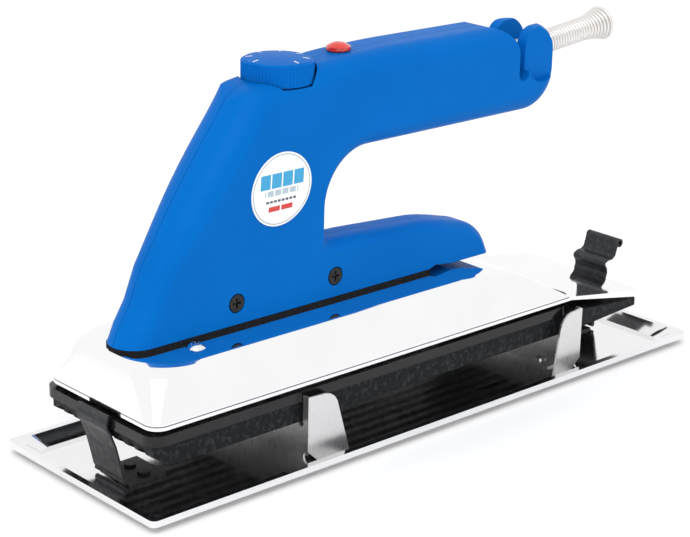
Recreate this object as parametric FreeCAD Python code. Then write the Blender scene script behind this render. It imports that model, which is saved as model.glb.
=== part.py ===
# Carpet seaming iron resting in its metal tray.
# Units mm, +Z up, +X toward the cord end, +Y away from the labelled side.
# Origin: centre of the underside of the tray.
import FreeCAD
import Part
import math
import os

V = FreeCAD.Vector

# ---- tray ----
tray_length = 346.0
tray_width = 108.0
tray_sheet = 0.8
tray_floor_inset = 6.0
tray_rim_height = 6.0
tray_corner_radius = 9.0
rim_flange_width = 2.2
rim_lip_drop = 3.0
rim_corner_radius = 3.0
floor_top = tray_sheet

# ---- iron envelope ----
iron_front = -160.5
iron_length = 312.0
iron_half_width = 39.0
shield_sheet = 0.8
shield_edge_z = 36.5
flange_top_z = 39.2
plateau_z = 59.7
plateau_front = 7.5
plateau_rear = 196.0
plateau_half_width = 29.5
tail_start = 258.0
tail_edge_z = 26.3
tail_top_z = 29.6
shield_corner_radius = 7.0
front_corner_growth = 19.0
rear_corner_growth = 2.0
hood_steps = (
    (0.0, 0.0), (0.42, 0.66), (0.52, 0.79), (0.64, 0.89), (0.77, 0.955), (0.9, 0.99), (1.0, 1.0),
)

# ---- sole and base plate ----
sole_front = 0.5
sole_half_width = 38.5
nose_length = 8.0
nose_rise = 5.0
sole_bottom_z = 20.0
sole_top_z = 30.0
sole_tail_bottom_z = 22.6
sole_tail_top_z = 25.6
sole_corner_chamfer = 3.0
groove_pitch = 7.4
groove_radius = 2.6
groove_depth = 1.5
groove_count = 9
base_front = -1.8
base_rear = 256.0
base_half_width = 39.9
base_bottom_z = 30.05
base_top_z = 34.8
base_corner_radius = 7.0
pad_top_z = 37.6
element_z = 26.2
element_radius = 3.2
element_pocket_radius = 3.5
shield_screw_x = 37.8
shield_screw_y = 18.6

# ---- handle ----
grip_half_width = 16.5
foot_half_width = 12.0
handle_wall = 2.6
seam_gap = 0.12
foot_bottom_z = 61.4
foot_floor = 3.0
crease_z = 92.0
grip_top_z = 174.0
grip_bottom_z = 129.7
edge_round = 9.0
skirt_edge_round = 9.0
deck_z = 163.2
dial_x = 98.0
dial_recess_radius = 17.2
gasket_thickness = 1.6
lens_x = 133.6
lens_radius = 5.6
handle_screw_x = (65.7, 123.6)
handle_screw_z = 71.2
screw_recess_radius = 4.5
mount_bolt_x = (40.0, 165.0)

# ---- cord exit ----
guard_start = (229.0, 153.8)
guard_end = (316.0, 163.9)
guard_radius = 5.9
guard_bore_radius = 6.3
guard_flare_radius = 9.0
slot_front = 236.0
slot_rear = 243.0
slot_floor_z = 149.5
ear_gap_half = 7.4
ear_half_width = 13.0
cavity_half_width = 13.85
cavity_floor_half = 7.4
cavity_floor_z = 132.35

# ---- knob ----
knob_radius = 16.2
knob_rib_depth = 0.45
knob_rib_count = 64
knob_bottom_z = 164.0
knob_rim_z = 173.3
knob_bevel = 0.7
knob_crown_z = 175.0
shaft_radius = 3.0
shaft_clearance = 0.06

# ---- brackets ----
front_web = 80.5
rear_web = 260.0
web_rivet_offset = 6.0
web_rivet_y = 24.0
bracket_opening_half = 40.3

# ---- clips ----
clip_rivet_x = 19.0
clip_rivet_y = 5.0
clip_half_width = 10.75
clip_sheet = 1.0
clip_rear_mirror = 315.0


def at(offset):
    return iron_front + offset


def box(x0, x1, y0, y1, z0, z1):
    return Part.makeBox(x1 - x0, y1 - y0, z1 - z0, V(x0, y0, z0))


def post(x, y, z0, z1, radius):
    return Part.makeCylinder(radius, z1 - z0, V(x, y, z0), V(0, 0, 1))


def pin_y(x, z, y0, y1, radius):
    return Part.makeCylinder(radius, y1 - y0, V(x, y0, z), V(0, 1, 0))


def fuse_all(shapes):
    result = shapes[0]
    if len(shapes) > 1:
        result = shapes[0].fuse(shapes[1:])
    return result.removeSplitter()


def cut_all(shape, tools):
    return shape.cut(tools)


def rounded_rect(half_x, half_y, z, radius):
    straight_x = half_x - radius
    straight_y = half_y - radius
    d = radius * math.sqrt(0.5)
    corners = []
    for sx, sy in ((1, 1), (-1, 1), (-1, -1), (1, -1)):
        corners.append((sx * straight_x, sy * straight_y, sx, sy))
    edges = []
    points = []
    for index, (cx, cy, sx, sy) in enumerate(corners):
        along = V(cx + sx * radius, cy, z)
        across = V(cx, cy + sy * radius, z)
        middle = V(cx + sx * d, cy + sy * d, z)
        first, last = (along, across) if index in (0, 2) else (across, along)
        points.append((first, middle, last))
    for index in range(4):
        first, middle, last = points[index]
        following = points[(index + 1) % 4][0]
        edges.append(Part.Arc(first, middle, last).toShape())
        edges.append(Part.makeLine(last, following))
    return Part.Wire(edges)


def side_solid(outline, half_y, shift=0.0):
    points = []
    for x, z in outline:
        points.append(V(at(x), -half_y + shift, z))
    wire = Part.makePolygon(points + [points[0]])
    return Part.Face(wire).extrude(V(0, 2 * half_y, 0))


def rounded_outline(corners, y):
    count = len(corners)
    points = []
    for x, z, radius in corners:
        points.append(V(at(x), y, z))
    stops = []
    for index in range(count):
        corner = points[index]
        radius = corners[index][2]
        back = (points[index - 1] - corner).normalize()
        ahead = (points[(index + 1) % count] - corner).normalize()
        if radius <= 0:
            stops.append((corner, None, corner))
            continue
        half_angle = back.getAngle(ahead) / 2.0
        reach = radius / math.tan(half_angle)
        inward = (back + ahead).normalize()
        middle = corner + inward * (radius / math.sin(half_angle) - radius)
        stops.append((corner + back * reach, middle, corner + ahead * reach))
    edges = []
    for index in range(count):
        first, middle, last = stops[index]
        if middle is not None:
            edges.append(Part.Arc(first, middle, last).toShape())
        following = stops[(index + 1) % count][0]
        if last.distanceToPoint(following) > 0.001:
            edges.append(Part.makeLine(last, following))
    return Part.Wire(edges)


def strip_solid(path, half_y, thickness):
    pieces = []
    half = thickness / 2.0
    for index in range(len(path) - 1):
        x0, z0 = path[index]
        x1, z1 = path[index + 1]
        length = math.hypot(x1 - x0, z1 - z0)
        nx = -(z1 - z0) / length * half
        nz = (x1 - x0) / length * half
        quad = ((x0 + nx, z0 + nz), (x1 + nx, z1 + nz), (x1 - nx, z1 - nz), (x0 - nx, z0 - nz))
        pieces.append(side_solid(quad, half_y))
    for x, z in path[1:-1]:
        pieces.append(pin_y(at(x), z, -half_y, half_y, half))
    return fuse_all(pieces)


# ---------------------------------------------------------------- tray
def make_tray_pan():
    half_x = tray_length / 2.0
    half_y = tray_width / 2.0
    rim_x = half_x - rim_flange_width
    rim_y = half_y - rim_flange_width
    low_x = rim_x - tray_floor_inset
    low_y = rim_y - tray_floor_inset
    radius = tray_corner_radius
    outer = Part.makeLoft([
        rounded_rect(low_x, low_y, 0.0, radius),
        rounded_rect(rim_x, rim_y, tray_rim_height, radius),
    ], True, True)
    inner = Part.makeLoft([
        rounded_rect(low_x - 0.35, low_y - 0.35, tray_sheet, radius),
        rounded_rect(rim_x - 0.9, rim_y - 0.9, tray_rim_height + 0.01, radius),
    ], True, True)
    flange_outer = Part.Face(rounded_rect(half_x, half_y, tray_rim_height - 0.8, rim_corner_radius))
    flange_hole = Part.Face(rounded_rect(rim_x - 0.9, rim_y - 0.9, tray_rim_height - 0.8, radius))
    flange = flange_outer.cut(flange_hole).extrude(V(0, 0, 0.8))
    lip_outer = Part.Face(rounded_rect(half_x, half_y, tray_rim_height - rim_lip_drop, rim_corner_radius))
    lip_hole = Part.Face(
        rounded_rect(half_x - 0.8, half_y - 0.8, tray_rim_height - rim_lip_drop, rim_corner_radius - 0.8))
    lip = lip_outer.cut(lip_hole).extrude(V(0, 0, rim_lip_drop))
    pan = fuse_all([outer.cut(inner), flange, lip])
    holes = []
    for x, y in bracket_rivet_places() + clip_rivet_places():
        holes.append(post(x, y, -1.0, floor_top + 1.0, 1.5))
    return cut_all(pan, holes)


def bracket_rivet_places():
    places = []
    for x in (front_web + web_rivet_offset, rear_web - web_rivet_offset):
        places.append((at(x), -web_rivet_y))
        places.append((at(x), web_rivet_y))
    return places


def clip_rivet_places():
    places = []
    for rear in (False, True):
        places.append((at(clip_offset(clip_rivet_x, rear)), -clip_rivet_y))
        places.append((at(clip_offset(clip_rivet_x, rear)), clip_rivet_y))
    return places


def bracket(web_x, direction, top_width, bottom_width):
    ear_out = 44.0
    ear_in = 43.0
    top = 33.0
    seat_top = sole_bottom_z - 0.3
    web = box(at(web_x) - 0.5, at(web_x) + 0.5, -ear_out, ear_out, floor_top, top)
    opening = box(at(web_x) - 2, at(web_x) + 2, -bracket_opening_half, bracket_opening_half,
                  seat_top, top + 1)
    cuts = [opening]
    for side in (-1, 1):
        notch = Part.makeCylinder(1.8, 4, V(at(web_x) - 2, side * 39.1, seat_top), V(1, 0, 0))
        cuts.append(notch)
        relief = Part.makeCylinder(3.2, 4, V(at(web_x) - 2, side * 44.0, 4.0), V(1, 0, 0))
        cuts.append(relief)
    web = cut_all(web, cuts)
    parts = [web]
    sx = direction
    for side in (-1, 1):
        y_mid = side * (ear_out + ear_in) / 2.0
        outline = [
            (web_x - 0.5 * sx, 7.2),
            (web_x - 0.5 * sx, top - 0.8),
            (web_x + 0.3 * sx, top),
            (web_x + sx * (top_width - 8.0), top - 0.4),
            (web_x + sx * (top_width - 5.0), top - 1.3),
            (web_x + sx * (top_width - 2.4), top - 3.2),
            (web_x + sx * (top_width - 0.8), top - 5.8),
            (web_x + sx * top_width, top - 8.6),
            (web_x + sx * bottom_width, floor_top + 0.3),
            (web_x + sx * 6.0, floor_top + 0.3),
        ]
        parts.append(side_solid(outline, 0.5, y_mid))
    foot = box(at(web_x + min(0, sx * 12)), at(web_x + max(0, sx * 12)),
               -34.0, 34.0, floor_top, floor_top + 1.0)
    parts.append(foot)
    body = fuse_all(parts)
    holes = []
    for y in (-web_rivet_y, web_rivet_y):
        holes.append(post(at(web_x + sx * web_rivet_offset), y, floor_top - 1, floor_top + 2, 1.5))
    return cut_all(body, holes)


def rivet(x, y, plate_top):
    shank = post(x, y, 0.0, plate_top, 1.5)
    head = post(x, y, plate_top, plate_top + 0.9, 2.8)
    return shank.fuse(head).removeSplitter()


def make_rivets(places):
    rivets = []
    for x, y in places:
        rivets.append(rivet(x, y, floor_top + 1.0))
    return Part.makeCompound(rivets)


def clip_offset(x, rear):
    return clip_rear_mirror - x if rear else x


def clip_foot(rear):
    x0 = clip_offset(7.4, rear)
    x1 = clip_offset(27.0, rear)
    low = min(x0, x1)
    high = max(x0, x1)
    plate = box(at(low), at(high), -clip_half_width, clip_half_width, floor_top, floor_top + 1.0)
    holes = []
    for y in (-clip_rivet_y, clip_rivet_y):
        holes.append(post(at(clip_offset(clip_rivet_x, rear)), y, floor_top - 1, floor_top + 2, 1.5))
    return cut_all(plate, holes)


def clip_blade(path, rear):
    moved = []
    for x, z in path:
        moved.append((clip_offset(x, rear), z))
    sheet = strip_solid(moved, clip_half_width, clip_sheet)
    root = pin_y(at(moved[0][0]), moved[0][1], -clip_half_width, clip_half_width, 1.2)
    return sheet.fuse(root).removeSplitter()


def front_clip_spring():
    return clip_blade((
        (5.6, 3.1), (4.3, 5.6), (2.8, 12.0), (0.6, 20.5), (-1.9, 27.0), (-3.6, 30.0),
        (-3.7, 32.0), (-3.0, 34.2), (-2.9, 36.2),
    ), False)


def rear_clip_spring():
    blade = clip_blade((
        (5.6, 3.1), (4.3, 5.6), (2.8, 12.0), (0.6, 20.5), (-1.9, 27.0), (-3.0, 30.0),
        (-2.6, 32.4), (-1.1, 34.6), (-1.2, 35.9), (-3.6, 37.0), (-6.9, 37.2), (-8.8, 38.6),
        (-10.6, 44.4),
    ), True)
    roll_x = at(clip_offset(-12.3, True))
    roll = pin_y(roll_x, 44.6, -clip_half_width, clip_half_width, 2.3)
    hollow = pin_y(roll_x, 44.6, -clip_half_width - 1, clip_half_width + 1, 1.3)
    return blade.fuse(roll).removeSplitter().cut(hollow)


# ---------------------------------------------------------------- base
def sole_outline(inset_side=0.0):
    x0 = at(sole_front)
    x1 = at(iron_length - 1.0)
    y = sole_half_width - inset_side
    c = sole_corner_chamfer
    points = [
        V(x0 + c * 0.7, -y, 0), V(x1 - 3.0, -y, 0), V(x1, -y + 3.0, 0), V(x1, y - 3.0, 0),
        V(x1 - 3.0, y, 0), V(x0 + c * 0.7, y, 0), V(x0, y - c, 0), V(x0, -y + c, 0),
    ]
    wire = Part.makePolygon(points + [points[0]])
    return Part.Face(wire).extrude(V(0, 0, 60))


def make_sole_plate():
    end = iron_length - 1.0
    profile = [
        (sole_front, sole_bottom_z + nose_rise),
        (sole_front + nose_length, sole_bottom_z),
        (266.0, sole_bottom_z),
        (end, sole_tail_bottom_z),
        (end, sole_tail_top_z),
        (262.0, sole_top_z),
        (sole_front, sole_top_z),
    ]
    plate = side_solid(profile, sole_half_width + 1.0).common(sole_outline())
    cuts = []
    first = -(groove_count - 1) / 2.0 * groove_pitch
    for index in range(groove_count):
        y = first + index * groove_pitch
        z = sole_bottom_z - groove_radius + groove_depth
        start = V(at(sole_front + nose_length), y, z)
        cuts.append(Part.makeCylinder(groove_radius, 262.0, start, V(1, 0, 0)))
        cuts.append(Part.makeCylinder(groove_radius, 14.0, start, V(-nose_length, 0, nose_rise)))
    for x, y in base_screw_places():
        cuts.append(post(at(x), y, 24.0, 40.0, 2.0))
    for cut in cuts:
        plate = plate.cut(cut)
    for pocket in element_shapes(element_pocket_radius):
        plate = plate.cut(pocket)
    return plate


def element_shapes(radius):
    z = element_z
    y = 19.0
    x_front = at(48.0)
    x_rear = at(232.0)
    shapes = []
    for side in (-1, 1):
        shapes.append(Part.makeCylinder(radius, x_rear - x_front, V(x_front, side * y, z), V(1, 0, 0)))
        shapes.append(Part.makeSphere(radius, V(x_rear, side * y, z)))
        shapes.append(post(x_rear, side * y, z, 40.0, radius))
    bend = Part.makeTorus(y, radius, V(x_front, 0, z), V(0, 0, 1))
    half = bend.common(box(x_front - 30, x_front, -30, 30, z - 8, z + 8))
    shapes.append(half)
    return shapes


def make_heating_element():
    body = fuse_all(element_shapes(element_radius))
    pins = []
    for side in (-1, 1):
        pins.append(post(at(232.0), side * 19.0, 39.5, 44.0, 1.2))
    return fuse_all([body] + pins)


def plate_outline(front, rear, half_width, z0, z1, radius):
    centre = (front + rear) / 2.0
    wire = rounded_rect((rear - front) / 2.0, half_width, z0, radius)
    wire.translate(V(at(centre), 0, 0))
    return Part.Face(wire).extrude(V(0, 0, z1 - z0))


def make_base_plate():
    plate = plate_outline(base_front, base_rear, base_half_width, base_bottom_z, base_top_z,
                          base_corner_radius)
    cuts = []
    for side in (-1, 1):
        cuts.append(post(at(232.0), side * 19.0, 28.0, 45.0, 3.8))
    for x in mount_bolt_x:
        cuts.append(post(at(x), 0, 28.0, 45.0, 2.5))
    for x, y in base_screw_places():
        cuts.append(post(at(x), y, 28.0, 45.0, 2.0))
    return cut_all(plate, cuts)


def base_screw_places():
    return ((22.0, -24.0), (22.0, 24.0), (130.0, -30.0), (130.0, 30.0), (246.0, -28.0), (246.0, 28.0))


def make_base_screws():
    screws = []
    for x, y in base_screw_places():
        shank = post(at(x), y, 25.0, base_top_z, 2.0)
        head = post(at(x), y, base_top_z, base_top_z + 2.2, 3.8)
        slot = box(at(x) - 5, at(x) + 5, y - 0.5, y + 0.5, base_top_z + 1.2, base_top_z + 3)
        screws.append(shank.fuse(head).removeSplitter().cut(slot))
    return Part.makeCompound(screws)


def make_insulation_pad():
    pad = plate_outline(14.0, 238.0, 32.0, base_top_z, pad_top_z, 8.0)
    cuts = []
    for side in (-1, 1):
        cuts.append(post(at(232.0), side * 19.0, 28.0, 45.0, 5.0))
        cuts.append(post(at(shield_screw_x), side * shield_screw_y, 28.0, 45.0, 2.5))
    for x in mount_bolt_x:
        cuts.append(post(at(x), 0, 28.0, 45.0, 2.8))
    for x, y in base_screw_places():
        cuts.append(post(at(x), y, 28.0, 45.0, 5.0))
    cuts.append(box(at(dial_x) - 17, at(dial_x) + 17, -14, 14, 28, 45))
    return cut_all(pad, cuts)


def make_thermostat():
    x = at(dial_x)
    body = box(x - 15, x + 15, -12, 12, base_top_z, 43.0)
    boss = post(x, 0, 43.0, 50.0, 6.0)
    bore = post(x, 0, 41.0, 52.0, shaft_radius + shaft_clearance)
    tab_a = box(x + 15, x + 21, -9, -4, 38.0, 38.8)
    tab_b = box(x + 15, x + 21, 4, 9, 38.0, 38.8)
    return fuse_all([body, boss, tab_a, tab_b]).cut(bore)


def shield_section(front, rear, half_width, z, front_radius, rear_radius):
    arcs = []
    corners = (
        (rear, 1, 1, rear_radius), (front, -1, 1, front_radius),
        (front, -1, -1, front_radius), (rear, 1, -1, rear_radius),
    )
    for index, (edge_x, sx, sy, radius) in enumerate(corners):
        cx = at(edge_x) - sx * radius
        cy = sy * (half_width - radius)
        d = radius * math.sqrt(0.5)
        along = V(cx + sx * radius, cy, z)
        across = V(cx, cy + sy * radius, z)
        first, last = (along, across) if index in (0, 2) else (across, along)
        arcs.append((first, V(cx + sx * d, cy + sy * d, z), last))
    edges = []
    for index, (first, middle, last) in enumerate(arcs):
        edges.append(Part.Arc(first, middle, last).toShape())
        edges.append(Part.makeLine(last, arcs[(index + 1) % 4][0]))
    return Part.Wire(edges)


def hood_sections(inset, rear, half, bend_z, top_z, radius):
    front_run = plateau_front + inset * 0.6 - inset
    rear_run = rear - (plateau_rear - inset * 0.5)
    side_run = half - (plateau_half_width - inset * 0.6)
    rise = top_z - bend_z
    sections = []
    for share, height in hood_steps:
        sections.append(shield_section(
            inset + front_run * share, rear - rear_run * share, half - side_run * share,
            bend_z + rise * height, radius + front_corner_growth * share,
            radius + rear_corner_growth * share))
    return sections


def shield_solid(inset):
    low_z = shield_edge_z
    tail_low = tail_edge_z
    if inset > 0:
        low_z = 20.0
        tail_low = 12.0
    half = iron_half_width - inset
    bend_z = flange_top_z - inset * 0.4
    top_z = plateau_z - inset
    rear = tail_start - inset * 0.6
    radius = shield_corner_radius - inset
    band = Part.makeLoft([
        shield_section(inset, rear, half, low_z, radius, radius),
        shield_section(inset, rear, half, bend_z, radius, radius),
    ], True, True)
    hood = Part.makeLoft(hood_sections(inset, rear, half, bend_z, top_z, radius), True, True)
    end = iron_length - inset
    tail_profile = (
        (240.0, low_z), (240.0, bend_z), (rear - 6.0, bend_z), (end, tail_top_z - inset),
        (end, tail_low), (tail_start, low_z),
    )
    tail = side_solid(tail_profile, half)
    return fuse_all([band, hood, tail])


def make_shield_cover():
    shell = shield_solid(0.0).cut(shield_solid(shield_sheet))
    cuts = [post(at(dial_x), 0, 50, 70, 4.5)]
    for x in mount_bolt_x:
        cuts.append(post(at(x), 0, 50, 70, 2.8))
    for side in (-1, 1):
        cuts.append(post(at(shield_screw_x), side * shield_screw_y, 50, 70, 1.7))
    cuts.append(post(at(150.0), 0, 50, 70, 4.0))
    return cut_all(shell, cuts)


def make_shield_screws():
    screws = []
    for side in (-1, 1):
        x = at(shield_screw_x)
        y = side * shield_screw_y
        shank = post(x, y, base_top_z, plateau_z, 1.7)
        ball = Part.makeSphere(5.2, V(x, y, plateau_z - 2.9))
        cap = ball.common(box(x - 5, x + 5, y - 5, y + 5, plateau_z, plateau_z + 5))
        cross_a = box(x - 2.4, x + 2.4, y - 0.45, y + 0.45, plateau_z + 0.9, plateau_z + 4)
        cross_b = box(x - 0.45, x + 0.45, y - 2.4, y + 2.4, plateau_z + 0.9, plateau_z + 4)
        screws.append(shank.fuse(cap).removeSplitter().cut([cross_a, cross_b]))
    return Part.makeCompound(screws)


# ---------------------------------------------------------------- handle
def plan_section(front, z, half_width):
    rear = at(300.0)
    x0 = at(front)
    cx = x0 + half_width
    arc = Part.Arc(V(cx, half_width, z), V(x0, 0, z), V(cx, -half_width, z)).toShape()
    lower = Part.makeLine(V(cx, -half_width, z), V(rear, -half_width, z))
    end = Part.makeLine(V(rear, -half_width, z), V(rear, half_width, z))
    upper = Part.makeLine(V(rear, half_width, z), V(cx, half_width, z))
    return Part.Wire([arc, lower, end, upper])


def handle_envelope(inset):
    lower_sections = (
        (7.3, foot_bottom_z, 12.0), (10.7, 69.0, 12.0), (16.3, 78.0, 12.1), (22.0, crease_z, 12.4),
    )
    upper_sections = (
        (22.0, crease_z, 12.4), (34.6, 112.4, 14.8), (48.4, 133.0, 16.3), (62.8, 152.0, 16.5),
        (71.3, 164.5, 16.5), (75.8, 182.0, 16.5),
    )
    lower = []
    for front, z, half in lower_sections:
        lower.append(plan_section(front + inset, z, half - inset))
    upper = []
    for front, z, half in upper_sections:
        upper.append(plan_section(front + inset, z, half - inset))
    skirt = Part.makeLoft(lower, True, True)
    body = Part.makeLoft(upper, True, False)
    return skirt.fuse(body)


def upper_side():
    return [
        (2.0, 60.0, 0.0),
        (10.0, 83.0, 60.0),
        (71.5, 164.3, 20.0),
        (119.0, 172.2, 300.0),
        (160.0, grip_top_z - 0.7, 400.0),
        (228.0, 172.9, 200.0),
        (264.8, 171.0, 14.0),
        (264.8, grip_bottom_z, 20.0),
        (117.1, grip_bottom_z, 25.0),
        (117.1, 60.0, 0.0),
    ]


def handle_upper(inset):
    half = grip_half_width - inset
    wire = rounded_outline(upper_side(), -half)
    if inset > 0:
        wire = wire.makeOffset2D(-inset)
    solid = Part.Face(wire).extrude(V(0, 2 * half, 0))
    chosen = []
    for edge in solid.Edges:
        b = edge.BoundBox
        flat = b.YMax - b.YMin < 0.01
        if flat and b.ZMax > 70.0:
            chosen.append(edge)
    return solid.makeFillet(edge_round - inset, chosen)


def skirt_solid(inset):
    corners = [
        (3.0, foot_bottom_z, 0.0),
        (3.0, 95.0, 0.0),
        (114.0, 95.0, 0.0),
        (119.0, 87.8, 8.0),
        (140.0, 87.2, 80.0),
        (190.0, 84.0, 100.0),
        (220.8, 76.2, 20.0),
        (229.4, 57.6, 0.0),
        (188.0, 62.8, 0.0),
        (184.0, foot_bottom_z, 0.0),
    ]
    half = foot_half_width + 1.2
    wire = rounded_outline(corners, -half)
    if inset > 0:
        return Part.Face(wire.makeOffset2D(-inset)).extrude(V(0, 2 * half, 0))
    solid = Part.Face(wire).extrude(V(0, 2 * half, 0))
    chosen = []
    for edge in solid.Edges:
        b = edge.BoundBox
        if b.YMax - b.YMin < 0.01 and b.XMax > at(118.0) and b.ZMax > 70.0:
            chosen.append(edge)
    return solid.makeFillet(skirt_edge_round, chosen)


def grip_end_cutter():
    slot_face = slot_front + 0.5
    wire = rounded_outline([
        (214.0, grip_top_z - 0.4, 0.0),
        (slot_face, 172.0, 17.0),
        (slot_face, 151.0, 0.0),
        (slot_rear, 151.0, 0.0),
        (slot_rear, 170.0, 9.0),
        (264.0, 171.1, 0.0),
        (264.0, 190.0, 0.0),
        (214.0, 190.0, 0.0),
    ], -30.0)
    return Part.Face(wire).extrude(V(0, 60, 0))


def ear_relief(side):
    depth = 10.0
    wire = rounded_outline([
        (slot_rear - 1.0, 190.0, 0.0),
        (slot_rear - 1.0, 141.5, 11.0),
        (270.0, 147.0, 0.0),
        (270.0, 190.0, 0.0),
    ], side * (ear_half_width + depth / 2.0) - depth / 2.0)
    return Part.Face(wire).extrude(V(0, depth, 0))


def handle_outer():
    upper = handle_upper(0.0)
    body = upper.fuse(skirt_solid(0.0)).common(handle_envelope(0.0))
    body = body.cut(grip_end_cutter())
    return body.cut([ear_relief(-1), ear_relief(1)]).removeSplitter()


def handle_cavity():
    upper = handle_upper(handle_wall).common(box(at(0), at(224.0), -40, 40, 40, 200))
    skirt = skirt_solid(handle_wall)
    body = upper.fuse(skirt).common(handle_envelope(handle_wall))
    return body.common(box(at(0), at(300), -40, 40, foot_bottom_z + foot_floor, 200))


def guard_axis():
    x0, z0 = guard_start
    x1, z1 = guard_end
    length = math.hypot(x1 - x0, z1 - z0)
    return V(at(x0), 0, z0), V((x1 - x0) / length, 0, (z1 - z0) / length), length


def make_handle_halves():
    outer = handle_outer()
    bosses = []
    for x in handle_screw_x:
        bosses.append(pin_y(at(x), handle_screw_z, -12.0, 12.0, 5.2))
    cavity = handle_cavity().cut(bosses)
    start, direction, length = guard_axis()
    cuts = [cavity]
    cuts.append(post(at(dial_x), 0, deck_z, 190.0, dial_recess_radius))
    cuts.append(post(at(dial_x), 0, 50.0, 190.0, shaft_radius + 0.5))
    cuts.append(post(at(lens_x), 0, 165.0, 190.0, 4.2))
    slot = box(at(slot_front), at(slot_rear), -30, 30, slot_floor_z, 190.0)
    cuts.append(slot)
    cuts.append(Part.makeCylinder(
        (slot_rear - slot_front) / 2.0, 60,
        V(at((slot_front + slot_rear) / 2.0), -30, slot_floor_z), V(0, 1, 0)))
    cuts.append(Part.makeCylinder(guard_bore_radius, 20.0, start - direction * 6, direction))
    cuts.append(box(at(slot_front) + 1, at(280), -ear_gap_half, ear_gap_half, 157.0, 190.0))
    cuts.append(Part.makeCylinder(ear_gap_half, 60.0, start + direction * 8, direction))
    for x in mount_bolt_x:
        cuts.append(post(at(x), 0, 50, 70, 2.8))
    cuts.append(post(at(150.0), 0, 50, 70, 4.0))
    for x in handle_screw_x:
        cuts.append(pin_y(at(x), handle_screw_z, -20.0, -10.2, screw_recess_radius))
        cuts.append(pin_y(at(x), handle_screw_z, -12.0, -2.0, 2.2))
        cuts.append(pin_y(at(x), handle_screw_z, -2.1, 8.0, 1.8))
    whole = outer.cut(cuts)
    near = whole.common(box(-400, 400, -60, -seam_gap, 0, 300))
    far = whole.common(box(-400, 400, seam_gap, 60, 0, 300))
    return outer, near, far


def make_handle_screws():
    screws = []
    for x in handle_screw_x:
        shank = pin_y(at(x), handle_screw_z, -10.2, 7.5, 1.8)
        head = pin_y(at(x), handle_screw_z, -12.0, -10.2, 3.9)
        cross_a = box(at(x) - 2.3, at(x) + 2.3, -13, -11.0, handle_screw_z - 0.5, handle_screw_z + 0.5)
        cross_b = box(at(x) - 0.5, at(x) + 0.5, -13, -11.0, handle_screw_z - 2.3, handle_screw_z + 2.3)
        screws.append(shank.fuse(head).removeSplitter().cut([cross_a, cross_b]))
    return Part.makeCompound(screws)


def make_foot_gasket():
    wire = plan_section(7.0, plateau_z, 12.3)
    body = Part.Face(wire).extrude(V(0, 0, gasket_thickness))
    body = body.common(box(at(0), at(184.5), -20, 20, 40, 90))
    cuts = [post(at(dial_x), 0, 50, 70, 4.5), post(at(150.0), 0, 50, 70, 4.0)]
    for x in mount_bolt_x:
        cuts.append(post(at(x), 0, 50, 70, 2.8))
    return cut_all(body, cuts)


def make_mount_bolts():
    bolts = []
    for x in mount_bolt_x:
        seat = foot_bottom_z + foot_floor
        shank = post(at(x), 0, base_bottom_z + 0.2, seat, 2.5)
        head = post(at(x), 0, seat, seat + 3.8, 4.6)
        socket = post(at(x), 0, seat + 1.5, seat + 5.0, 2.2)
        bolts.append(shank.fuse(head).removeSplitter().cut(socket))
    return Part.makeCompound(bolts)


def make_side_label(outer):
    disc = pin_y(at(87.6), 120.0, -30.0, 0.0, 17.0)
    raised = outer.copy()
    raised.translate(V(0, -0.35, 0))
    return disc.common(raised).cut(outer)


# ---------------------------------------------------------------- cord end
def make_cord_guard():
    start, direction, length = guard_axis()
    inner = 4.3
    pitch = 2.0
    wire_radius = 0.95
    count = int(length / pitch)
    flare_length = 18.0
    flare_start = length - flare_length
    points = [V(inner, 0, 0)]
    samples = 4
    outer_points = []
    for index in range(count * samples + 1):
        along = index * pitch / samples
        if along > length:
            break
        phase = (index % samples) / float(samples)
        wave = wire_radius * math.sqrt(max(0.0, 1.0 - (2 * phase - 1) ** 2))
        grow = 0.0
        if along > flare_start:
            part = (along - flare_start) / flare_length
            grow = (guard_flare_radius - guard_radius) * part * part
        outer_points.append(V(guard_radius - wire_radius + wave + grow, 0, along))
    end = outer_points[-1].z
    inner_points = [
        V(inner + guard_flare_radius - guard_radius, 0, end),
        V(inner + 0.8, 0, flare_start + flare_length * 0.5),
        V(inner, 0, flare_start),
        V(inner, 0, 0),
    ]
    outline = outer_points + inner_points
    face = Part.Face(Part.makePolygon(outline + [outline[0]]))
    guard = face.revolve(V(0, 0, 0), V(0, 0, 1), 360)
    angle = math.degrees(math.atan2(direction.x, direction.z))
    guard.rotate(V(0, 0, 0), V(0, 1, 0), angle)
    guard.translate(start)
    return guard


def make_cord_clamp():
    x = at(206.0)
    saddle = box(x - 5, x + 5, -11, 11, 146.0, 150.5)
    arch = Part.makeCylinder(6.2, 10, V(x - 5, 0, 150.5), V(1, 0, 0))
    arch = arch.common(box(x - 6, x + 6, -8, 8, 146.0, 160.0))
    bore = Part.makeCylinder(4.2, 12, V(x - 6, 0, 150.5), V(1, 0, 0))
    body = fuse_all([saddle, arch]).cut(bore)
    holes = [post(x, -8.6, 140, 155, 1.4), post(x, 8.6, 140, 155, 1.4)]
    return cut_all(body, holes)


def make_clamp_shelf():
    x = at(206.0)
    foot = box(x - 7, x + 7, -cavity_floor_half, cavity_floor_half, cavity_floor_z, 138.8)
    shelf = box(x - 7, x + 7, -cavity_half_width, cavity_half_width, 138.8, 146.0)
    rib = fuse_all([foot, shelf])
    holes = [post(x, -8.6, 130, 155, 1.4), post(x, 8.6, 130, 155, 1.4)]
    return cut_all(rib, holes)


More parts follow.
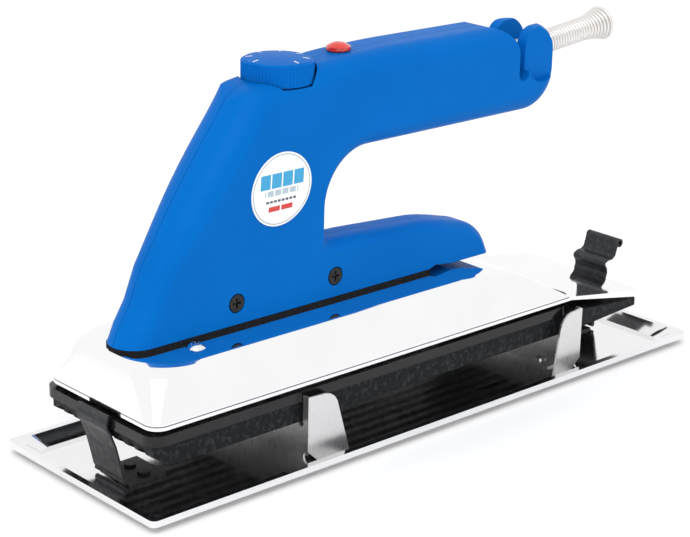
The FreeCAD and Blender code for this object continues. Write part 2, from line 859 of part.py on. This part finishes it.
def make_terminal_block():
    x0 = at(160.0)
    foot = box(x0, x0 + 30, -cavity_floor_half, cavity_floor_half, cavity_floor_z, 134.2)
    body = fuse_all([box(x0, x0 + 30, -9, 9, 134.2, 144.0), foot])
    cuts = []
    for index in range(3):
        px = x0 + 5 + index * 10
        cuts.append(post(px, 0, 138.0, 150.0, 2.4))
        cuts.append(Part.makeCylinder(1.8, 20, V(px, -10, 136.8), V(0, 1, 0)))
    return cut_all(body, cuts)


def make_terminal_screws():
    screws = []
    for index in range(3):
        px = at(160.0) + 5 + index * 10
        body = post(px, 0, 139.0, 142.4, 2.2)
        slot = box(px - 3, px + 3, -0.4, 0.4, 141.6, 143)
        screws.append(body.cut(slot))
    return Part.makeCompound(screws)


def make_indicator_lens():
    x = at(lens_x)
    rim = 174.6
    stem = post(x, 0, 169.0, rim - 1.0, 4.0)
    flange = post(x, 0, 173.1, rim, lens_radius)
    ball = Part.makeSphere(8.2, V(x, 0, rim - 6.2))
    dome = ball.common(post(x, 0, rim, rim + 5, lens_radius))
    hollow = post(x, 0, 168.0, 172.6, 3.0)
    return fuse_all([stem, flange, dome]).cut(hollow)


def make_indicator_lamp():
    x = at(lens_x)
    glass = post(x, 0, 158.5, 170.0, 2.6)
    tip = Part.makeSphere(2.6, V(x, 0, 170.0 - 0.2))
    holder = post(x, 0, 153.0, 158.5, 3.4)
    return fuse_all([glass, tip.common(post(x, 0, 166, 172.4, 2.6)), holder])


def make_lamp_bracket():
    x = at(lens_x)
    return box(x - 6, x + 6, -cavity_half_width, cavity_half_width, 151.4, 153.0)


# ---------------------------------------------------------------- knob
def ribbed_wire(radius, depth, count, z):
    points = []
    steps = count * 2
    for index in range(steps):
        r = radius if index % 2 == 0 else radius - depth
        angle = 2 * math.pi * index / steps
        points.append(V(r * math.cos(angle), r * math.sin(angle), z))
    return Part.makePolygon(points + [points[0]])


def make_thermostat_knob():
    ribbed = Part.Face(ribbed_wire(knob_radius, knob_rib_depth, knob_rib_count, knob_bottom_z))
    skirt = ribbed.extrude(V(0, 0, knob_rim_z - knob_bottom_z))
    top = knob_rim_z + knob_bevel
    crown_radius = knob_radius - 2 * knob_bevel
    height = knob_crown_z - top
    ball_radius = (crown_radius ** 2 + height ** 2) / (2 * height)
    ball = Part.makeSphere(ball_radius, V(0, 0, knob_crown_z - ball_radius))
    dome = ball.common(post(0, 0, top, knob_crown_z + 1, crown_radius))
    edge_radius = knob_radius - knob_rib_depth
    bevel = Part.makeCone(edge_radius, crown_radius, knob_bevel, V(0, 0, knob_rim_z), V(0, 0, 1))
    hub = post(0, 0, knob_bottom_z - 1, knob_bottom_z + 6.0, shaft_radius)
    knob = fuse_all([skirt, bevel, dome]).cut(hub)
    knob.translate(V(at(dial_x), 0, 0))
    return knob


def make_thermostat_shaft():
    x = at(dial_x)
    rod = post(x, 0, 41.4, knob_bottom_z + 6.0, shaft_radius)
    flat = box(x + 2.4, x + 5, -5, 5, knob_bottom_z + 0.5, knob_bottom_z + 7)
    return rod.cut(flat)


def export(node, shape):
    shape.exportStep("parts/" + node + ".step")
    print(node, "solids", len(shape.Solids), "valid", shape.isValid(), "volume", round(shape.Volume))


def main():
    os.makedirs("parts", exist_ok=True)
    export("tray_pan", make_tray_pan())
    export("front_bracket", bracket(front_web, 1, 17.5, 24.5))
    export("rear_bracket", bracket(rear_web, -1, 15.0, 18.5))
    export("bracket_rivets", make_rivets(bracket_rivet_places()))
    export("front_clip_foot", clip_foot(False))
    export("rear_clip_foot", clip_foot(True))
    export("clip_rivets", make_rivets(clip_rivet_places()))
    export("front_clip_spring", front_clip_spring())
    export("rear_clip_spring", rear_clip_spring())
    export("sole_plate", make_sole_plate())
    export("heating_element", make_heating_element())
    export("base_plate", make_base_plate())
    export("base_screws", make_base_screws())
    export("insulation_pad", make_insulation_pad())
    export("thermostat_body", make_thermostat())
    export("shield_cover", make_shield_cover())
    export("shield_screws", make_shield_screws())
    export("foot_gasket", make_foot_gasket())
    outer, near, far = make_handle_halves()
    export("handle_near_half", near)
    export("handle_far_half", far)
    export("handle_screws", make_handle_screws())
    export("handle_mount_bolts", make_mount_bolts())
    export("side_label", make_side_label(outer))
    export("cord_guard", make_cord_guard())
    export("cord_clamp", make_cord_clamp())
    export("cord_clamp_block", make_clamp_shelf())
    export("terminal_block", make_terminal_block())
    export("terminal_screws", make_terminal_screws())
    export("indicator_lens", make_indicator_lens())
    export("indicator_lamp", make_indicator_lamp())
    export("lamp_bracket", make_lamp_bracket())
    export("thermostat_knob", make_thermostat_knob())
    export("thermostat_shaft", make_thermostat_shaft())


main()
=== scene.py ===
# Studio scene of a carpet seaming iron resting in its metal tray.
# Metres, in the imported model's frame: +X to the cord end, +Y away from the label, +Z up.
import math

import bmesh
import bpy
from mathutils import Matrix, Vector


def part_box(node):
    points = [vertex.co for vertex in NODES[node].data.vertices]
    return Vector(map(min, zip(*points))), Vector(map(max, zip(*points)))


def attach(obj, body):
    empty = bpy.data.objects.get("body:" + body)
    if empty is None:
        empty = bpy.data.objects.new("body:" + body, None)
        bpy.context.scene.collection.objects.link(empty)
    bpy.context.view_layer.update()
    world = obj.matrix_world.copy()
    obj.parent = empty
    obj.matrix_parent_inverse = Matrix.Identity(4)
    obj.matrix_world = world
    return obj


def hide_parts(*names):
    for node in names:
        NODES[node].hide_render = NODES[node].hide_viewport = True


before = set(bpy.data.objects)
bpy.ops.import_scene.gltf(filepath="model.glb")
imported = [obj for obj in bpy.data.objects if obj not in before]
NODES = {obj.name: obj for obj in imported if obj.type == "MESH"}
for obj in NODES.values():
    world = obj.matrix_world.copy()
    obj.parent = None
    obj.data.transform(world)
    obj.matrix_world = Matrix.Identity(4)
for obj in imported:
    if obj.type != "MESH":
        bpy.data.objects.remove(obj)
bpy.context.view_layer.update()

MM = 0.001
# Height and half width of the band of painted shade along the shield's bend.
FOLD_ABOVE_BASE = 3.5 * MM
FOLD_SHADE_HALF_WIDTH = 0.3 * MM
LABEL_RING_RADIUS = 16.0 * MM
LABEL_RING_HALF_WIDTH = 0.22 * MM
SMEAR_SHADE = 0.97
# Places of a Mix node's colour sockets: its several kinds of socket share their names.
MIX_MASK, MIX_UNDER, MIX_OVER, MIX_RESULT = 0, 6, 7, 2


# ---------------------------------------------------------------- shader helpers
class Finish:
    """One procedural material, built up a layer at a time on its Principled shader."""

    def __init__(self, name, colour, metallic=0.0, roughness=0.5):
        self.material = bpy.data.materials.new(name)
        self.material.use_nodes = True
        self.tree = self.material.node_tree
        self.shader = self.tree.nodes["Principled BSDF"]
        self.shader.inputs["Base Color"].default_value = (*colour, 1.0)
        self.shader.inputs["Metallic"].default_value = metallic
        self.shader.inputs["Roughness"].default_value = roughness
        self.place = self.tree.nodes.new("ShaderNodeTexCoord").outputs["Object"]
        self.normal = None

    def link(self, output, target):
        self.tree.links.new(output, target)

    def stretched(self, scale):
        """Object coordinates scaled along each axis."""
        mapping = self.tree.nodes.new("ShaderNodeMapping")
        mapping.inputs["Scale"].default_value = scale
        self.link(self.place, mapping.inputs["Vector"])
        return mapping.outputs["Vector"]

    def noise(self, size_mm, detail=3.0, stretch=None, rough=0.55):
        """Cloudy noise with features about size_mm across."""
        node = self.tree.nodes.new("ShaderNodeTexNoise")
        node.inputs["Scale"].default_value = 1.0 / (size_mm * MM)
        node.inputs["Detail"].default_value = detail
        node.inputs["Roughness"].default_value = rough
        self.link(self.stretched(stretch) if stretch else self.place, node.inputs["Vector"])
        return node.outputs["Fac"]

    def cells(self, size_mm):
        """Distance to the nearest of random points about size_mm apart."""
        node = self.tree.nodes.new("ShaderNodeTexVoronoi")
        node.inputs["Scale"].default_value = 1.0 / (size_mm * MM)
        self.link(self.place, node.inputs["Vector"])
        return node.outputs["Distance"]

    def ranged(self, value, low, high, from_low=0.3, from_high=0.7):
        node = self.tree.nodes.new("ShaderNodeMapRange")
        node.inputs["From Min"].default_value = from_low
        node.inputs["From Max"].default_value = from_high
        node.inputs["To Min"].default_value = low
        node.inputs["To Max"].default_value = high
        self.link(value, node.inputs["Value"])
        return node.outputs["Result"]

    def tint(self, value, colour_low, colour_high, from_low=0.3, from_high=0.7):
        ramp = self.tree.nodes.new("ShaderNodeValToRGB")
        ramp.color_ramp.elements[0].position = from_low
        ramp.color_ramp.elements[0].color = (*colour_low, 1.0)
        ramp.color_ramp.elements[1].position = from_high
        ramp.color_ramp.elements[1].color = (*colour_high, 1.0)
        self.link(value, ramp.inputs["Fac"])
        self.link(ramp.outputs["Color"], self.shader.inputs["Base Color"])

    def roughness(self, value, low, high, from_low=0.3, from_high=0.7):
        self.link(self.ranged(value, low, high, from_low, from_high), self.shader.inputs["Roughness"])

    def bump(self, value, height_mm, strength=1.0):
        node = self.tree.nodes.new("ShaderNodeBump")
        node.inputs["Strength"].default_value = strength
        node.inputs["Distance"].default_value = height_mm * MM
        self.link(value, node.inputs["Height"])
        if self.normal is not None:
            self.link(self.normal, node.inputs["Normal"])
        self.normal = node.outputs["Normal"]
        self.link(self.normal, self.shader.inputs["Normal"])

    def axis(self, name):
        """One object coordinate, in metres."""
        node = self.tree.nodes.new("ShaderNodeSeparateXYZ")
        self.link(self.place, node.inputs["Vector"])
        return node.outputs[name]

    def math(self, operation, first, second=0.0):
        node = self.tree.nodes.new("ShaderNodeMath")
        node.operation = operation
        for socket, value in zip(node.inputs, (first, second)):
            if isinstance(value, float):
                socket.default_value = value
            else:
                self.link(value, socket)
        return node.outputs["Value"]

    def inside(self, value, centre, half):
        """1 where value is within half of centre, else 0."""
        return self.math("LESS_THAN", self.math("ABSOLUTE", self.math("SUBTRACT", value, centre)), half)

    def over(self, mask, colour):
        """Lays colour over what is there already, where mask is 1."""
        base = self.shader.inputs["Base Color"]
        mix = self.tree.nodes.new("ShaderNodeMix")
        mix.data_type = "RGBA"
        self.link(mask, mix.inputs[MIX_MASK])
        self.link(base.links[0].from_socket, mix.inputs[MIX_UNDER])
        mix.inputs[MIX_OVER].default_value = (*colour, 1.0)
        self.link(mix.outputs[MIX_RESULT], base)

    def set(self, **values):
        for name, value in values.items():
            self.shader.inputs[name.replace("_", " ")].default_value = value


def paint(finish, *names):
    for name in names:
        slots = NODES[name].material_slots
        if not slots:
            NODES[name].data.materials.append(finish.material)
        for entry in slots:
            entry.material = finish.material


# ---------------------------------------------------------------- materials
def moulded_blue(name, colour, shade):
    finish = Finish(name, colour, roughness=0.36)
    finish.tint(finish.noise(60.0, 2.0), shade, colour)
    finish.roughness(finish.noise(2.5, 4.0), 0.33, 0.44)
    finish.bump(finish.noise(0.55, 2.0), 0.03, 0.35)
    finish.set(Specular_IOR_Level=0.22, IOR=1.16)
    return finish


def polished_sheet(name, colour, rough_low, rough_high, wave_mm):
    finish = Finish(name, colour, metallic=1.0)
    scratches = finish.noise(0.35, 3.0, (0.06, 1.0, 1.0))
    smears = finish.noise(28.0, 4.0)
    finish.tint(smears, tuple(SMEAR_SHADE * part for part in colour), colour)
    finish.roughness(smears, rough_low, rough_high)
    finish.bump(finish.noise(55.0, 1.0), wave_mm, 0.5)
    finish.bump(scratches, 0.004, 0.25)
    return finish


def satin_sheet(name, colour, stretch):
    finish = Finish(name, colour, metallic=1.0)
    grain = finish.noise(0.5, 4.0, stretch)
    finish.roughness(grain, 0.24, 0.42)
    finish.bump(grain, 0.012, 0.4)
    finish.set(Anisotropic=0.4)
    return finish


def black_steel(name, colour, worn, rough_low, rough_high, size_mm, depth_mm):
    finish = Finish(name, colour)
    finish.tint(finish.noise(2.0 * size_mm, 5.0), colour, worn, 0.5, 0.8)
    finish.roughness(finish.noise(3.0, 4.0), rough_low, rough_high)
    finish.bump(finish.noise(size_mm, 5.0, rough=0.65), depth_mm, 0.7)
    finish.set(Specular_IOR_Level=0.28)
    return finish


def folded_mirror():
    """The shield's mirror, with a dark grey line of painted shade along its folded bend, just above its lower
    edge.
    """
    finish = polished_sheet("shield_mirror", (0.93, 0.93, 0.94), 0.035, 0.075, 0.25)
    base_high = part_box("base_plate")[1]
    # Painted shade: a thin dark grey band is laid over the mirror along the bend, ahead of the tail, to stand
    # in for the shading of the crease.
    fold_shade = finish.inside(finish.axis("Z"), base_high.z + FOLD_ABOVE_BASE, FOLD_SHADE_HALF_WIDTH)
    ahead_of_tail = finish.math("LESS_THAN", finish.axis("X"), base_high.x)
    finish.over(finish.math("MULTIPLY", fold_shade, ahead_of_tail), (0.20, 0.20, 0.21))
    return finish


def printed_label():
    """White disc with a thin ring and plain bars, printed with no words."""
    low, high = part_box("side_label")
    finish = Finish("label_film", (0.90, 0.91, 0.92), roughness=0.3)
    finish.tint(finish.noise(20.0, 2.0), (0.86, 0.87, 0.89), (0.93, 0.94, 0.95))
    finish.roughness(finish.noise(3.0, 3.0), 0.24, 0.36)
    finish.bump(finish.noise(9.0, 2.0), 0.03, 0.3)
    across = finish.math("SUBTRACT", finish.axis("X"), (low.x + high.x) / 2)
    up = finish.math("SUBTRACT", finish.axis("Z"), (low.z + high.z) / 2)
    away = finish.math("SQRT", finish.math(
        "ADD", finish.math("MULTIPLY", across, across), finish.math("MULTIPLY", up, up)))
    # Each bar: height of its middle, half height, half width, block and gap in mm, then its colour.
    bars = (
        (4.6, 3.4, 12.6, 3.15, 0.35, (0.03, 0.34, 0.62)),
        (-1.0, 1.3, 9.4, 2.1, 0.4, (0.42, 0.52, 0.58)),
        (-4.9, 0.55, 8.6, 1.1, 0.3, (0.05, 0.06, 0.09)),
        (-8.4, 1.2, 7.2, 3.6, 0.4, (0.62, 0.04, 0.03)),
    )
    for height, half_height, half_width, block, gap, colour in bars:
        row = finish.inside(up, height * MM, half_height * MM)
        span = finish.inside(across, 0.0, half_width * MM)
        blocks = finish.math("GREATER_THAN", finish.math("PINGPONG", across, block * MM), gap * MM)
        finish.over(finish.math("MULTIPLY", finish.math("MULTIPLY", row, span), blocks), colour)
    finish.over(finish.inside(away, LABEL_RING_RADIUS, LABEL_RING_HALF_WIDTH), (0.30, 0.36, 0.42))
    return finish


BLUE = (0.0004, 0.136, 0.500)
BLUE_SHADE = (0.0004, 0.120, 0.455)

blue = moulded_blue("blue_moulding", BLUE, BLUE_SHADE)
shield_mirror = folded_mirror()
tray_mirror = polished_sheet("tray_mirror", (0.86, 0.86, 0.87), 0.07, 0.13, 0.16)
satin = satin_sheet("satin_sheet", (0.72, 0.71, 0.71), (1.0, 1.0, 0.08))
sole_black = black_steel("sole_casting", (0.007, 0.008, 0.009), (0.045, 0.050, 0.056), 0.30, 0.55, 1.3, 0.45)
sole_black.set(Specular_IOR_Level=0.12)
lip_black = black_steel("lip_enamel", (0.006, 0.006, 0.007), (0.014, 0.014, 0.016), 0.10, 0.22, 3.0, 0.06)
lip_black.set(Specular_IOR_Level=0.35)
clip_black = black_steel("clip_oxide", (0.016, 0.017, 0.019), (0.05, 0.052, 0.056), 0.28, 0.46, 1.2, 0.05)
gasket = black_steel("gasket_fibre", (0.008, 0.008, 0.010), (0.022, 0.022, 0.026), 0.65, 0.9, 0.6, 0.45)
gasket.set(Specular_IOR_Level=0.1)
screw_black = black_steel("screw_oxide", (0.009, 0.009, 0.008), (0.03, 0.028, 0.025), 0.3, 0.45, 1.0, 0.03)
chrome = polished_sheet("chrome_bright", (0.86, 0.86, 0.87), 0.05, 0.12, 0.05)
red = Finish("red_lens", (0.83, 0.03, 0.015), roughness=0.16)
red.tint(red.noise(3.0, 2.0), (0.72, 0.02, 0.010), (0.90, 0.045, 0.02))
red.bump(red.cells(1.6), 0.10, 0.35)
red.set(Transmission_Weight=0.25, Coat_Weight=0.6, Coat_Roughness=0.06)
coil_steel = satin_sheet("coil_steel", (0.80, 0.775, 0.755), (1.0, 1.0, 1.0))
label = printed_label()
mark_white = Finish("dial_mark", (0.85, 0.86, 0.88), roughness=0.5)
mark_white.tint(mark_white.noise(0.8, 2.0), (0.72, 0.74, 0.78), (0.90, 0.91, 0.93))
board = black_steel("pale_board", (0.55, 0.52, 0.46), (0.68, 0.65, 0.58), 0.7, 0.9, 0.8, 0.12)

paint(blue, "handle_near_half", "handle_far_half", "thermostat_knob")
paint(shield_mirror, "shield_cover")
paint(tray_mirror, "tray_pan")
paint(satin, "front_bracket", "rear_bracket", "lamp_bracket", "cord_guard", "heating_element")
paint(sole_black, "sole_plate")
paint(lip_black, "base_plate")
paint(clip_black, "front_clip_spring", "rear_clip_spring", "front_clip_foot", "rear_clip_foot", "clip_rivets")
paint(gasket, "foot_gasket")
paint(screw_black, "handle_screws")
paint(chrome, "shield_screws", "base_screws", "handle_mount_bolts", "terminal_screws", "thermostat_shaft",
      "bracket_rivets")
paint(red, "indicator_lens", "indicator_lamp")
paint(board, "insulation_pad", "thermostat_body", "cord_clamp", "cord_clamp_block", "terminal_block")
paint(label, "side_label")


# ---------------------------------------------------------------- cord guard and dial marks
GUARD_RUN = 87.0 * MM
GUARD_RISE = 10.1 * MM
GUARD_RADIUS = 5.9 * MM
GUARD_MOUTH_RADIUS = 9.0 * MM
GUARD_FLARE = 18.0 * MM
GUARD_WIRE = 0.92 * MM
GUARD_PITCH = 1.95 * MM
STEPS_PER_TURN = 28
WIRE_SIDES = 8
MARK_COUNT = 7
MARK_START = math.radians(-90.0)
MARK_STEP = math.radians(45.0)
MARK_HALF_WIDTH = 0.32 * MM
MARK_DEPTH = 0.58 * MM
# Each end of a mark: its distance from the dial's axis and how far it lies below the dial's top.
MARK_ENDS = ((11.0 * MM, 0.40 * MM), (13.9 * MM, 0.76 * MM))


def add_mesh(name, points, faces, finish, body):
    mesh = bpy.data.meshes.new(name)
    mesh.from_pydata(points, [], faces)
    mesh.materials.append(finish.material)
    piece = bpy.data.objects.new(name, mesh)
    bpy.context.scene.collection.objects.link(piece)
    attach(piece, body)
    return piece


def guard_coil():
    """The wound wire of the cord guard, opening into a bell at its free end."""
    low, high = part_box("cord_guard")
    tilt = math.atan2(GUARD_RISE, GUARD_RUN)
    lean, rise = math.sin(tilt), math.cos(tilt)
    start = Vector((low.x + GUARD_RADIUS * lean, 0.0, low.z + GUARD_RADIUS * rise))
    end = Vector((high.x - GUARD_MOUTH_RADIUS * lean, 0.0, high.z - GUARD_MOUTH_RADIUS * rise))
    axis = (end - start).normalized()
    length = (end - start).length - 2 * GUARD_WIRE
    side = Vector((0.0, 1.0, 0.0))
    upward = side.cross(axis) * -1.0
    count = int(length / GUARD_PITCH * STEPS_PER_TURN)
    centres, outwards = [], []
    for index in range(count + 1):
        along = index * GUARD_PITCH / STEPS_PER_TURN
        share = max(0.0, along - (length - GUARD_FLARE)) / GUARD_FLARE
        radius = GUARD_RADIUS - GUARD_WIRE + (GUARD_MOUTH_RADIUS - GUARD_RADIUS) * share * share
        turn = 2 * math.pi * index / STEPS_PER_TURN
        outward = side * math.cos(turn) + upward * math.sin(turn)
        centres.append(start + axis * (along + GUARD_WIRE) + outward * radius)
        outwards.append(outward)
    points, faces = [], []
    for index, (centre, outward) in enumerate(zip(centres, outwards)):
        ahead = centres[min(index + 1, count)] - centres[max(index - 1, 0)]
        across = ahead.normalized().cross(outward).normalized()
        for part in range(WIRE_SIDES):
            angle = 2 * math.pi * part / WIRE_SIDES
            points.append(centre + (outward * math.cos(angle) + across * math.sin(angle)) * GUARD_WIRE)
    for index in range(count):
        for part in range(WIRE_SIDES):
            after = (part + 1) % WIRE_SIDES
            first, second = index * WIRE_SIDES, (index + 1) * WIRE_SIDES
            faces.append((first + part, first + after, second + after, second + part))
    faces.append(tuple(reversed(range(WIRE_SIDES))))
    faces.append(tuple(count * WIRE_SIDES + part for part in range(WIRE_SIDES)))
    coil = add_mesh("guard_coil", points, faces, coil_steel, "iron")
    for face in coil.data.polygons:
        face.use_smooth = True
    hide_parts("cord_guard")


def dial_marks():
    """Short white lines printed round the top of the dial."""
    low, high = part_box("thermostat_knob")
    centre = (low + high) / 2
    points, faces = [], []
    for index in range(MARK_COUNT):
        turn = MARK_START + MARK_STEP * index
        radial = Vector((math.cos(turn), math.sin(turn), 0.0))
        across = Vector((-radial.y, radial.x, 0.0)) * MARK_HALF_WIDTH
        first = len(points)
        for depth in (MARK_DEPTH, 0.0):
            for reach, fall in MARK_ENDS:
                place = Vector((centre.x, centre.y, high.z - fall - depth)) + radial * reach
                points.extend((place - across, place + across))
        for corners in ((0, 1, 3, 2), (4, 6, 7, 5), (0, 4, 5, 1), (2, 3, 7, 6), (0, 2, 6, 4), (1, 5, 7, 3)):
            faces.append(tuple(first + corner for corner in corners))
    add_mesh("dial_marks", points, faces, mark_white, "dial")


guard_coil()
dial_marks()


# ---------------------------------------------------------------- stage, light and camera
FLOOR_HALF = 6.0
FLOOR_DROP = 0.4 * MM
WORLD_LEVEL = 1.02
KEY_PLACE = (-0.9, -0.7, 1.3)
KEY_AIM = (0.0, 0.0, 0.08)
KEY_WIDTH = 1.0
KEY_HEIGHT = 0.8
KEY_POWER = 9.0
CAMERA_AIM = (-0.0201, 0.0, 0.0680)
CAMERA_DISTANCE = 0.907
CAMERA_AZIMUTH = -42.62
CAMERA_ELEVATION = 18.946
CAMERA_ROLL = 1.2
CAMERA_LENS = 101.5
CAMERA_NEAR = 0.01


def add_stage():
    mesh = bpy.data.meshes.new("floor")
    build = bmesh.new()
    bmesh.ops.create_grid(build, x_segments=1, y_segments=1, size=FLOOR_HALF)
    build.to_mesh(mesh)
    build.free()
    floor = bpy.data.objects.new("floor", mesh)
    floor.location = (0.0, 0.0, -FLOOR_DROP)
    bpy.context.scene.collection.objects.link(floor)
    finish = Finish("floor_paper", (0.96, 0.96, 0.96), roughness=0.8)
    finish.bump(finish.noise(1.5, 3.0), 0.02, 0.2)
    mesh.materials.append(finish.material)


def add_softbox(name, place, aim, width, height, power):
    data = bpy.data.lights.new(name, "AREA")
    data.shape = "RECTANGLE"
    data.size = width
    data.size_y = height
    data.energy = power
    lamp = bpy.data.objects.new(name, data)
    lamp.location = place
    lamp.rotation_mode = "QUATERNION"
    lamp.rotation_quaternion = (Vector(aim) - Vector(place)).to_track_quat("-Z", "Y")
    bpy.context.scene.collection.objects.link(lamp)


def add_world(level):
    world = bpy.data.worlds.new("studio")
    world.use_nodes = True
    background = world.node_tree.nodes["Background"]
    background.inputs["Color"].default_value = (1.0, 1.0, 1.0, 1.0)
    background.inputs["Strength"].default_value = level
    bpy.context.scene.world = world


def add_camera(aim, distance, azimuth, elevation, roll, lens):
    turn, rise, tilt = (math.radians(angle) for angle in (azimuth, elevation, roll))
    back = Vector((math.sin(turn) * math.cos(rise), -math.cos(turn) * math.cos(rise), math.sin(rise)))
    level = (-back).cross(Vector((0.0, 0.0, 1.0))).normalized()
    upright = level.cross(-back)
    right = level * math.cos(tilt) + upright * math.sin(tilt)
    up = upright * math.cos(tilt) - level * math.sin(tilt)
    data = bpy.data.cameras.new("camera")
    data.lens = lens
    data.clip_start = CAMERA_NEAR
    camera = bpy.data.objects.new("camera", data)
    axes = Matrix((right, up, back)).transposed()
    camera.matrix_world = Matrix.Translation(Vector(aim) + back * distance) @ axes.to_4x4()
    bpy.context.scene.collection.objects.link(camera)
    bpy.context.scene.camera = camera


add_stage()
add_world(WORLD_LEVEL)
add_softbox("key", KEY_PLACE, KEY_AIM, KEY_WIDTH, KEY_HEIGHT, KEY_POWER)
add_camera(CAMERA_AIM, CAMERA_DISTANCE, CAMERA_AZIMUTH, CAMERA_ELEVATION, CAMERA_ROLL, CAMERA_LENS)
bpy.context.scene.view_settings.view_transform = "Standard"
